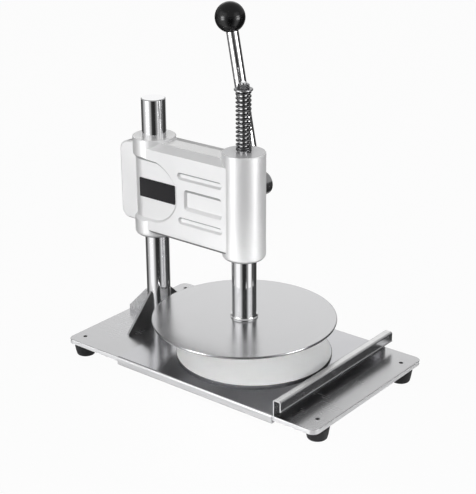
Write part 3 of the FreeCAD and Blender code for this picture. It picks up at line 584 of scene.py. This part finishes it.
@dataclass
class PressHead:
    """Cast head with its bearing, bare plate, clamp screws and lift spring."""

    rod_x: float = 4.8
    spring_foot: float = 295.8
    spring_top: float = 374.0
    spring_radius: float = 8.65
    wire_radius: float = 1.25
    wire_sides: int = 14
    turn_steps: int = 40
    closed_low: float = 2.0
    closed_high: float = 0.5
    closed_gap: float = 0.1
    open_turns: float = 13.0
    travel: float = 38.0
    corner: float = 1.2
    corner_steps: int = 5
    rim: float = 0.9
    sunk: float = 0.25
    lip_x: Pair = (-141.0, 2.0)
    lip_y: Pair = (18.5, 27.02)
    lip_z: Pair = (163.6, 173.0)
    lip_round: float = 5.0
    lip_steps: int = 8
    # Painted light on the casting by facing: faces turned down are painted dark grey (painted shade under the
    # head), flat tops are painted white (painted highlight), and flat tops above 294 mm, the boss top, are
    # painted back to a light grey (painted shade).
    cast_painted_light: Finish = Finish("satin_casting_painted_light", (0.95, 0.95, 0.955), 0.34, metal=0.36, fineness=750.0,
                          depth=0.000004, smudge=0.05, mottle=0.012, specular=0.4,
                          zones=(Zone((0.0, 0.0, -1.0), (0.40, 0.40, 0.41), 0.40, start=0.2),
                                 Zone((0.0, 0.0, 1.0), (1.0, 1.0, 1.0), 0.22, start=0.95, full=0.99),
                                 Zone((0.0, 0.0, 1.0), (0.80, 0.80, 0.81), 0.26, start=0.95, full=0.99,
                                      above=0.2940)))
    # The lips are the same casting with their downward rounding painted near black: painted shade under the
    # web.
    lip_cast_painted_shade: Finish = replace(cast_painted_light, name="casting_painted_shade",
                               zones=(Zone((0.0, 0.0, -1.0), (0.26, 0.26, 0.265), 0.40, start=0.08,
                                           full=0.35),))
    black: Finish = Finish("bare_black_plate", (0.026, 0.025, 0.027), 0.42, metal=0.0, grain=Grain.ALONG_X,
                           fineness=1500.0, mottle=0.1, specular=0.12)
    cap: Finish = Finish("turned_cap", (0.78, 0.78, 0.79), 0.28, grain=Grain.TURNED, fineness=1200.0,
                         middle=(-0.0242, 0.0, 0.229), turn=(math.pi / 2, 0.0, 0.0))
    brass: Finish = Finish("bearing_brass", (0.62, 0.45, 0.20), 0.28, fineness=1200.0)
    wire: Finish = Finish("spring_wire", (0.17, 0.17, 0.175), 0.30, fineness=1800.0, depth=0.000006,
                          mottle=0.04)
    bolt: Finish = Finish("blackened_screw", (0.10, 0.10, 0.105), 0.38, fineness=1400.0)

    def spring(self, shop: Workshop) -> None:
        """Winds the lift spring, with closed turns at its foot and half a one on top.

        Args:
            shop: makes the pieces.
        """
        shape = bmesh.new()
        ring = bmesh.ops.create_circle(shape, cap_ends=False, radius=self.wire_radius * MM,
                                       segments=self.wire_sides,
                                       matrix=Matrix.Rotation(math.pi / 2, 4, "X"))["verts"]
        bmesh.ops.translate(shape, verts=ring, vec=(self.spring_radius * MM, 0.0, self.wire_radius * MM))
        rise = self.spring_top - self.spring_foot - 2.0 * self.wire_radius
        shut = 2.0 * self.wire_radius + self.closed_gap
        pitch = (rise - (self.closed_low + self.closed_high) * shut) / self.open_turns
        first = last = list(shape.edges)
        for turns, climb in ((self.closed_low, shut), (self.open_turns, pitch), (self.closed_high, shut)):
            count = round(turns * self.turn_steps)
            wound = bmesh.ops.spin(shape, geom=last, cent=(0, 0, 0), axis=(0, 0, 1), angle=math.tau * turns,
                                   dvec=(0, 0, climb * turns * MM / count), steps=count, use_duplicate=False)
            last = [item for item in wound["geom_last"] if isinstance(item, bmesh.types.BMEdge)]
        ends = [edge for edge in first + last if edge.is_valid]
        bmesh.ops.holes_fill(shape, edges=ends, sides=self.wire_sides)
        bmesh.ops.transform(shape, matrix=upright(self.rod_x, 0.0, self.spring_foot), verts=shape.verts)
        made = shop.piece("lift_spring", shape, self.wire, "head", ["return_spring"],
                          crease=60.0)
        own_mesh(made)

    def lower_lips(self, shop: Workshop) -> None:
        """Builds the rounded lips that carry the web's two sides down past its floor.

        Args:
            shop: makes the pieces.
        """
        shape = bmesh.new()
        (inner, outer), (low, high) = self.lip_y, self.lip_z
        middle = (outer - self.lip_round, low + self.lip_round)
        outline = [(outer, high), *arc(middle, self.lip_round, 0.0, -90.0, self.lip_steps), (inner, low),
                   (inner, high)]
        start, end = self.lip_x
        for side in (-1.0, 1.0):
            ring = [shape.verts.new((start * MM, side * y * MM, z * MM)) for y, z in outline]
            cut = shape.faces.new(ring)
            grown = bmesh.ops.extrude_face_region(shape, geom=[cut], use_keep_orig=True)["geom"]
            moved = [item for item in grown if isinstance(item, bmesh.types.BMVert)]
            bmesh.ops.translate(shape, verts=moved, vec=((end - start) * MM, 0.0, 0.0))
        shop.piece("web_lower_lips", shape, self.lip_cast_painted_shade, "head", crease=30.0)

    def blank_plate(self, shop: Workshop) -> None:
        """Builds the bare plate with round corners and a raised rim.

        Args:
            shop: makes the pieces.
        """
        low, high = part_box("name_plate")
        shape = bmesh.new()
        bmesh.ops.create_cube(shape, size=1.0)
        bmesh.ops.scale(shape, vec=high - low, verts=shape.verts)
        bmesh.ops.translate(shape, vec=(low + high) / 2.0, verts=shape.verts)
        corners = [edge for edge in shape.edges if abs((edge.verts[0].co - edge.verts[1].co).y) > WELD]
        bmesh.ops.bevel(shape, geom=corners, offset=self.corner * MM, affect="EDGES",
                        segments=self.corner_steps, profile=0.5, material=-1)
        front = [face for face in shape.faces if face.normal.y < -FACING]
        bmesh.ops.inset_region(shape, faces=front, thickness=self.rim * MM, use_even_offset=True)
        inside = list({vert for face in front for vert in face.verts})
        bmesh.ops.translate(shape, vec=(0.0, self.sunk * MM, 0.0), verts=inside)
        shop.piece("bare_plate", shape, self.black, "head", ["name_plate"], crease=30.0)

    def build(self, shop: Workshop) -> None:
        """Dresses the head and adds its spring, lips and plate.

        Args:
            shop: makes the pieces.
        """
        shop.dress(["head_casting"], self.cast_painted_light)
        shop.dress(["bearing_cap"], self.cap)
        shop.dress(["inner_bush"], self.brass)
        shop.dress(["clamp_screws", "cap_screws"], self.bolt)
        self.spring(shop)
        self.lower_lips(shop)
        self.blank_plate(shop)


@dataclass
class LeverArm:
    """Shaft, pinion, hub, lever and ball. The lever's tilt is in degrees."""

    tilt: float = 11.1
    length: float = 218.9
    shaft_height: float = 229.0
    ball_radius: float = 19.6
    flat_radius: float = 8.7
    socket_radius: float = 5.05
    socket_end: float = -4.0
    mouth: Pair = (5.6, 0.6)
    seam_half: float = 1.2
    seam_depth: float = 0.12
    ball_strips: int = 96
    chrome: Finish = replace(CHROME, name="lever_chrome")
    hub: Finish = Finish("hub_chrome", (0.60, 0.60, 0.61), 0.14, fineness=1400.0, depth=0.000005, smudge=0.03)
    gear: Finish = Finish("gear_steel", (0.36, 0.36, 0.37), 0.32, fineness=1200.0)
    black: Finish = Finish("ball_gloss_black", (0.004, 0.004, 0.0045), 0.20, metal=0.0, fineness=260.0,
                           depth=0.000006, smudge=0.03, mottle=0.2)

    def ball(self, shop: Workshop) -> None:
        """Builds the moulded ball with its seam and the flat where the lever enters.

        Args:
            shop: makes the pieces.
        """
        low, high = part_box("lever_hub")
        start = Vector(((low.x + high.x) / 2.0, (low.y + high.y) / 2.0, self.shaft_height * MM))
        lean = Matrix.Rotation(-math.radians(self.tilt), 4, "Y")
        middle = start + lean @ Vector((0.0, 0.0, self.length * MM))
        radius = self.ball_radius
        flat = -math.degrees(math.acos(self.flat_radius / radius))
        seat = -math.sqrt(radius * radius - self.flat_radius * self.flat_radius)
        outline = [(0.0, self.socket_end), (self.socket_radius, self.socket_end),
                   (self.socket_radius, seat + self.mouth[1]), (self.mouth[0], seat)]
        outline += arc((0.0, 0.0), radius, flat, -self.seam_half, steps=30)
        outline += [(radius - self.seam_depth, 0.0)]
        outline += arc((0.0, 0.0), radius, self.seam_half, 90.0, steps=36)
        shape = turned(outline, Matrix.Translation(middle) @ lean, self.ball_strips)
        shop.piece("ball_grip", shape, self.black, "lever", ["lever_knob"], crease=50.0)

    def build(self, shop: Workshop) -> None:
        """Dresses the lever's metal and adds the ball.

        Args:
            shop: makes the pieces.
        """
        shop.dress(["lever_rod", "pinion_shaft"], self.chrome)
        shop.dress(["lever_hub"], self.hub)
        shop.dress(["drive_pinion", "pinion_pin", "hub_grub_screw"], self.gear)
        self.ball(shop)


@dataclass
class PressRam:
    """Rod, its foot ring, the upper disc and the spindle's washer and nut."""

    rod_x: float = 4.8
    disc_radius: float = 120.02
    disc_z: Pair = (70.1, 72.9)
    rim_depth: float = 1.0
    rim_bulge: float = 0.35
    rim_steps: int = 10
    rim_strips: int = 160
    chrome: Finish = replace(CHROME, name="rod_chrome", rough=0.06, smudge=0.02)
    # The upper disc's downward face is painted darker than its top: painted shade under the disc.
    disc: Finish = Finish("upper_disc_painted_shade", (0.745, 0.745, 0.755), 0.23, grain=Grain.TURNED, fineness=1100.0,
                          depth=0.000001, smudge=0.03, mottle=0.02, middle=(0.0048, 0.0, 0.07),
                          zones=(Zone((0.0, 0.0, -1.0), (0.60, 0.60, 0.61), 0.35),))
    edge: Finish = Finish("polished_rim", (0.50, 0.50, 0.51), 0.14, fineness=1500.0, depth=0.000001,
                          mottle=0.01)
    small: Finish = Finish("small_steel", (0.45, 0.45, 0.46), 0.30, fineness=1300.0)

    def disc_rim(self, shop: Workshop) -> None:
        """Builds the rounded and polished rim of the upper disc.

        Args:
            shop: makes the pieces.
        """
        low, high = self.disc_z
        half = (high - low) / 2.0
        inner = self.disc_radius - self.rim_depth
        outline = [(inner, low)]
        for i in range(self.rim_steps + 1):
            share = 2.0 * i / self.rim_steps - 1.0
            radius = self.disc_radius + self.rim_bulge * (1.0 - share * share)
            outline.append((radius, low + half * (1.0 + share)))
        outline += [(inner, high), (inner, low)]
        shape = turned(outline, upright(self.rod_x, 0.0), self.rim_strips)
        shop.piece("upper_disc_rim", shape, self.edge, "ram")

    def build(self, shop: Workshop) -> None:
        """Dresses the ram and adds the disc's rim.

        Args:
            shop: makes the pieces.
        """
        shop.dress(["press_rod", "rod_foot_ring"], self.chrome)
        shop.dress(["press_disc"], self.disc)
        self.disc_rim(shop)
        shop.dress(["disc_screw", "spring_washer", "spindle_nut"], self.small)


@dataclass
class SlideTray:
    """Folded tray and the lower disc on it."""

    hem_x: float = 154.75
    hem_z: float = 35.6
    hem_radius: float = 1.1
    hem_length: float = 242.4
    hem_sides: int = 24
    # Painted light on the tray by facing: flat tops above 45.5 mm are painted white (painted highlight on the
    # pull and rim tops), faces towards -Y are painted lighter (painted light on the front), and faces turned
    # down are painted dark (painted shade under the lip).
    mirror_painted_light: Finish = Finish("tray_mirror_painted_light", (0.68, 0.68, 0.70), 0.18, grain=Grain.ALONG_X,
                            depth=0.000001, smudge=0.03, mottle=0.03,
                            zones=(Zone((0.0, 0.0, 1.0), (1.0, 1.0, 1.0), 0.25, above=0.0455),
                                   Zone((0.0, -1.0, 0.0), (0.80, 0.80, 0.81), 0.30, start=0.35, full=0.7),
                                   Zone((0.0, 0.0, -1.0), (0.42, 0.42, 0.43), 0.35, start=0.15, full=0.6)))
    # The lower disc is painted nearly white and kept mostly unmetallic, lifting it out of the upper disc's
    # shade: painted light. Its upright edge is painted near black: painted shade.
    disc: Finish = Finish("lower_disc_painted_light", (0.95, 0.95, 0.95), 0.42, metal=0.25, grain=Grain.TURNED,
                          fineness=1100.0, depth=0.000002, smudge=0.04, mottle=0.02,
                          middle=(0.0208, 0.0, 0.03), specular=0.4,
                          zones=(Zone((0.0, 0.0, 1.0), (0.08, 0.08, 0.085), 0.25, across=True,
                                      start=0.8, full=0.98),))
    hem: Finish = Finish("pull_hem_polish", (0.80, 0.80, 0.81), 0.16, fineness=1200.0, depth=0.000001)

    def pull_hem(self, shop: Workshop) -> None:
        """Builds the rounded hem along the foot of the pull's front face.

        Args:
            shop: makes the pieces.
        """
        shape = bmesh.new()
        lay = upright(self.hem_x, 0.0, self.hem_z) @ Matrix.Rotation(math.pi / 2.0, 4, "X")
        radius = self.hem_radius * MM
        bmesh.ops.create_cone(shape, cap_ends=True, segments=self.hem_sides, radius1=radius, radius2=radius,
                              depth=self.hem_length * MM, matrix=lay)
        shop.piece("pull_hem", shape, self.hem, "tray")

    def build(self, shop: Workshop) -> None:
        """Dresses the tray and adds the pull's hem.

        Args:
            shop: makes the pieces.
        """
        shop.dress(["slide_tray"], self.mirror_painted_light)
        shop.dress(["lower_disc"], self.disc)
        self.pull_hem(shop)


@dataclass(frozen=True)
class Surround:
    """An even pale world for matt surfaces, and light and dark panels for polished metal to show.

    Stops are bearings in degrees from the camera's side, minus 180 to 180, each with a brightness.
    Pairs are the start and end of a range: heights as the sine of the elevation, the back ones as a
    share of a turn away from the camera's side, and the bounce as the ray's depth in the world.
    """

    ambient: float = 0.85
    fill_turn: float = 35.0
    fill_range: Pair = (-0.8, 0.4)
    fill_least: float = 0.5
    dome_range: Pair = (0.15, 0.95)
    dome_least: float = 0.4
    low_stops: Stops = ((-178, 0.06), (-120, 0.08), (-92, 0.5), (-70, 1.0), (-46, 1.0), (-28, 0.4),
                        (-12, 0.03), (12, 0.02), (28, 0.2), (46, 1.0), (60, 1.0), (80, 0.08),
                        (140, 0.02), (150, 0.3))
    high_stops: Stops = ((-178, 1.0), (-166, 0.9), (-146, 0.25), (-120, 0.1), (-78, 1.0),
                         (-38, 1.0), (-12, 0.03), (18, 0.03), (46, 1.0), (72, 0.7), (84, 0.06),
                         (144, 0.06), (172, 1.0))
    high_range: Pair = (0.10, 0.26)
    top_range: Pair = (0.5, 0.7)
    top_tone: float = 0.22
    back_range: Pair = (0.36, 0.46)
    back_heights: Pair = (0.43, 0.56)
    back_dark: float = 0.62
    glint_stops: Stops = ((-73, 0.0), (-65, 1.0), (-54, 1.0), (-42, 0.0), (46, 0.0), (56, 0.8),
                          (68, 0.8), (78, 0.0))
    glint: float = 9.0
    glint_start: Pair = (-0.28, -0.12)
    glint_end: Pair = (0.05, 0.22)
    sky: float = 0.36
    sky_bounce: Pair = (2.2, 2.8)
    sky_heights: Pair = (0.02, 0.12)

    def bands(self, graph: Graph, turn: Socket, stops: Stops) -> Socket:
        """Light round the horizon as the metal sees it.

        Args:
            graph: the world's graph.
            turn: bearing as a share of a full turn, a half on the camera's side.
            stops: bearings and their brightness.

        Returns:
            The brightness as a colour output.
        """
        ramp = graph.add("ShaderNodeValToRGB", {"Fac": turn})
        ramp.color_ramp.interpolation = "EASE"
        elements = ramp.color_ramp.elements
        for bearing, tone in stops:
            elements.new((bearing + 180.0) / 360.0).color = grey(tone)
        elements.remove(elements[0])
        elements.remove(elements[-1])
        return ramp.outputs["Color"]

    def panels(self, graph: Graph, turn: Socket, height: Socket) -> Socket:
        """Panels and flags round the press, as polished metal shows them.

        Args:
            graph: the world's graph.
            turn: bearing as a share of a full turn, a half on the camera's side.
            height: sine of the elevation.

        Returns:
            The brightness as a colour output.
        """
        low = self.bands(graph, turn, self.low_stops)
        high = self.bands(graph, turn, self.high_stops)
        glints = self.bands(graph, turn, self.glint_stops)
        away = graph.maths("ABSOLUTE", graph.maths("SUBTRACT", turn, 0.5))
        falls = graph.maths("MULTIPLY", graph.spread(away, *self.back_range),
                            graph.spread(height, *self.back_heights))
        high = graph.blend(graph.maths("MULTIPLY", falls, self.back_dark), high, grey(0.0))
        both = graph.blend(graph.spread(height, *self.high_range), low, high)
        both = graph.blend(graph.spread(height, *self.top_range), both, grey(self.top_tone))
        depth = graph.add("ShaderNodeLightPath").outputs["Ray Depth"]
        upward = graph.maths("MULTIPLY", graph.spread(depth, *self.sky_bounce, 1.0, 0.0),
                             graph.spread(height, *self.sky_heights))
        least = graph.vectors("SCALE", {0: (self.sky, self.sky, self.sky), 3: upward})
        both = graph.vectors("MAXIMUM", {0: both, 1: least})
        level = graph.maths("MULTIPLY", graph.spread(height, *self.glint_start),
                            graph.spread(height, *self.glint_end, 1.0, 0.0))
        lit = graph.vectors("MULTIPLY", {0: glints, 1: (self.glint, self.glint, self.glint)})
        return graph.vectors("ADD", {0: both, 1: graph.vectors("SCALE", {0: lit, 3: level})})

    def build(self, camera_side: float) -> None:
        """Makes the world of it.

        Args:
            camera_side: bearing of the camera from the press, in radians.
        """
        world = bpy.data.worlds.new("studio")
        bpy.context.scene.world = world
        world.use_nodes = True
        world.cycles.sampling_method = "NONE"
        graph = Graph(world.node_tree)
        where = graph.add("ShaderNodeTexCoord").outputs["Generated"]
        way = graph.add("ShaderNodeSeparateXYZ", {0: where}).outputs
        shifted = graph.maths("SUBTRACT", graph.maths("ARCTAN2", way[1], way[0]), camera_side)
        turn = graph.maths("FRACT", graph.maths("ADD", graph.maths("DIVIDE", shifted, math.tau), 1.5))
        fill_side = camera_side + math.radians(self.fill_turn)
        front = (math.cos(fill_side), math.sin(fill_side), 0.0)
        towards = graph.vectors("DOT_PRODUCT", {0: where, 1: front}, "Value")
        matt = graph.maths("MULTIPLY", graph.spread(towards, *self.fill_range, self.fill_least, 1.0),
                           graph.spread(way[2], *self.dome_range, 1.0, self.dome_least))
        strength = graph.maths("MULTIPLY", matt, self.ambient)
        plain = graph.add("ShaderNodeBackground", {"Color": grey(1.0), "Strength": strength})
        panels = self.panels(graph, turn, way[2])
        metal = graph.add("ShaderNodeBackground", {"Color": panels, "Strength": 1.0})
        seen = graph.add("ShaderNodeBackground", {"Color": grey(1.0), "Strength": 1.0})
        path = graph.add("ShaderNodeLightPath").outputs
        first = graph.add("ShaderNodeMixShader", {0: path["Is Glossy Ray"], 1: plain.outputs[0],
                                                  2: metal.outputs[0]})
        second = graph.add("ShaderNodeMixShader", {0: path["Is Camera Ray"], 1: first.outputs[0],
                                                   2: seen.outputs[0]})
        graph.add("ShaderNodeOutputWorld", {"Surface": second.outputs[0]})


@dataclass(frozen=True)
class Lamp:
    """One soft square lamp: side in metres, power in watts, spread of its cone in degrees."""

    name: str
    place: Point
    aim: Point
    size: float
    power: float
    spread: float = 180.0

    def hang(self) -> None:
        """Hangs the lamp and turns it to its aim. Polished metal doesn't show it."""
        data = bpy.data.lights.new(self.name, "AREA")
        data.energy = self.power
        data.size = self.size
        data.spread = math.radians(self.spread)
        made = stand(self.name, data)
        made.location = self.place
        made.rotation_euler = (Vector(self.aim) - Vector(self.place)).to_track_quat("-Z", "Y").to_euler()
        made.visible_glossy = False


@dataclass
class Studio:
    """Floor, light and the camera at the photograph's view.

    Angles are in degrees, lengths in metres but for the sensor's, and the floor's near part is
    given by its half sizes. The camera takes its focal length and centre from the photograph's pixels.
    """

    yaw: float = 38.77
    pitch: float = 21.83
    roll: float = 0.33
    eye: Point = (0.9512, -1.1906, 0.7770)
    focal_px: float = 1288.94
    frame_px: tuple[int, int] = (476, 494)
    centre_px: Pair = (238.05, 248.06)
    sensor_mm: float = 36.0
    far: float = 60.0
    near_floor: Pair = (0.262, 0.178)
    floor_reach: float = 12.0
    floor_tone: float = 0.55
    floor_seen: float = 0.96
    floor_in_gloss: float = 0.45
    surround: Surround = Surround()
    lamps: tuple[Lamp, ...] = (
        Lamp("key", (-0.5, -1.9, 0.7), (0.0, 0.0, 0.2), 1.2, 9.5),
        Lamp("side", (1.8, 0.1, 0.7), (0.0, 0.0, 0.25), 0.9, 8.0),
        Lamp("top", (0.1, -0.2, 2.2), (0.0, 0.0, 0.2), 1.6, 5.0),
        Lamp("gap", (0.66, -0.76, 0.40), (0.03, -0.04, 0.03), 0.2, 0.22, 14.0))

    def camera(self) -> None:
        """Stands the camera where the photograph was taken from."""
        yaw, pitch, roll = (math.radians(angle) for angle in (self.yaw, self.pitch, self.roll))
        right = Vector((math.cos(yaw), math.sin(yaw), 0.0))
        level = Vector((-math.sin(yaw), math.cos(yaw), 0.0))
        forward = level * math.cos(pitch) - Vector((0, 0, 1)) * math.sin(pitch)
        down = forward.cross(right)
        across = right * math.cos(roll) + down * math.sin(roll)
        below = down * math.cos(roll) - right * math.sin(roll)
        data = bpy.data.cameras.new("view")
        data.sensor_width = self.sensor_mm
        long_side = max(self.frame_px)
        data.lens = data.sensor_width * self.focal_px / long_side
        data.shift_x = (self.frame_px[0] / 2.0 - self.centre_px[0]) / long_side
        data.shift_y = (self.centre_px[1] - self.frame_px[1] / 2.0) / long_side
        data.clip_end = self.far
        made = stand("view", data)
        turn = Matrix((across, -below, -forward)).transposed()
        made.matrix_world = Matrix.Translation(self.eye) @ turn.to_4x4()
        bpy.context.scene.camera = made

    def floor_material(self) -> bpy.types.Material:
        """Builds the pale floor that the camera sees nearly white, with the shadow left on it.

        Returns:
            The floor's material.
        """
        material = bpy.data.materials.new("pale_floor")
        material.use_nodes = True
        graph = Graph(material.node_tree)
        diffuse = graph.add("ShaderNodeBsdfDiffuse", {"Color": grey(self.floor_tone)})
        glow = graph.add("ShaderNodeEmission", {"Color": grey(1.0), "Strength": 1.0})
        path = graph.add("ShaderNodeLightPath").outputs
        share = graph.maths("MAXIMUM", graph.maths("MULTIPLY", path["Is Camera Ray"], self.floor_seen),
                            graph.maths("MULTIPLY", path["Is Glossy Ray"], self.floor_in_gloss))
        mixed = graph.add("ShaderNodeMixShader", {0: share, 1: diffuse.outputs[0], 2: glow.outputs[0]})
        graph.add("ShaderNodeOutputMaterial", {"Surface": mixed.outputs[0]})
        return material

    def floor(self) -> None:
        """Lays the pale floor: gloss shows only the part of it next to the press."""
        material = self.floor_material()
        half_x, half_y = self.near_floor
        for name, near in (("near_floor", True), ("wide_floor", False)):
            shape = bmesh.new()
            bmesh.ops.create_grid(shape, x_segments=1, y_segments=1, size=1.0)
            bmesh.ops.scale(shape, vec=(half_x, half_y, 1.0), verts=shape.verts)
            if not near:
                inner = list(shape.faces)
                outer = bmesh.ops.extrude_edge_only(shape, edges=shape.edges)["geom"]
                corners = [item for item in outer if isinstance(item, bmesh.types.BMVert)]
                reach = (self.floor_reach / half_x, self.floor_reach / half_y, 1.0)
                bmesh.ops.scale(shape, vec=reach, verts=corners)
                bmesh.ops.delete(shape, geom=inner, context="FACES_ONLY")
            mesh = mesh_of(name, shape)
            mesh.materials.append(material)
            made = stand(name, mesh)
            made.visible_glossy = near

    def build(self) -> None:
        """Sets up the whole studio."""
        bpy.context.scene.view_settings.view_transform = "Standard"
        self.camera()
        self.floor()
        self.surround.build(math.radians(self.yaw - 90.0))
        for lamp in self.lamps:
            lamp.hang()


def main() -> None:
    """Builds the press and its studio, and logs each piece as it is made."""
    logging.basicConfig(level=logging.INFO, format="%(name)s: %(message)s")
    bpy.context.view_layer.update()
    shop = Workshop()
    for part in (BaseFrame(), PressHead(), LeverArm(), PressRam(), SlideTray()):
        part.build(shop)
    Studio().build()


if __name__ == "__main__":
    main()
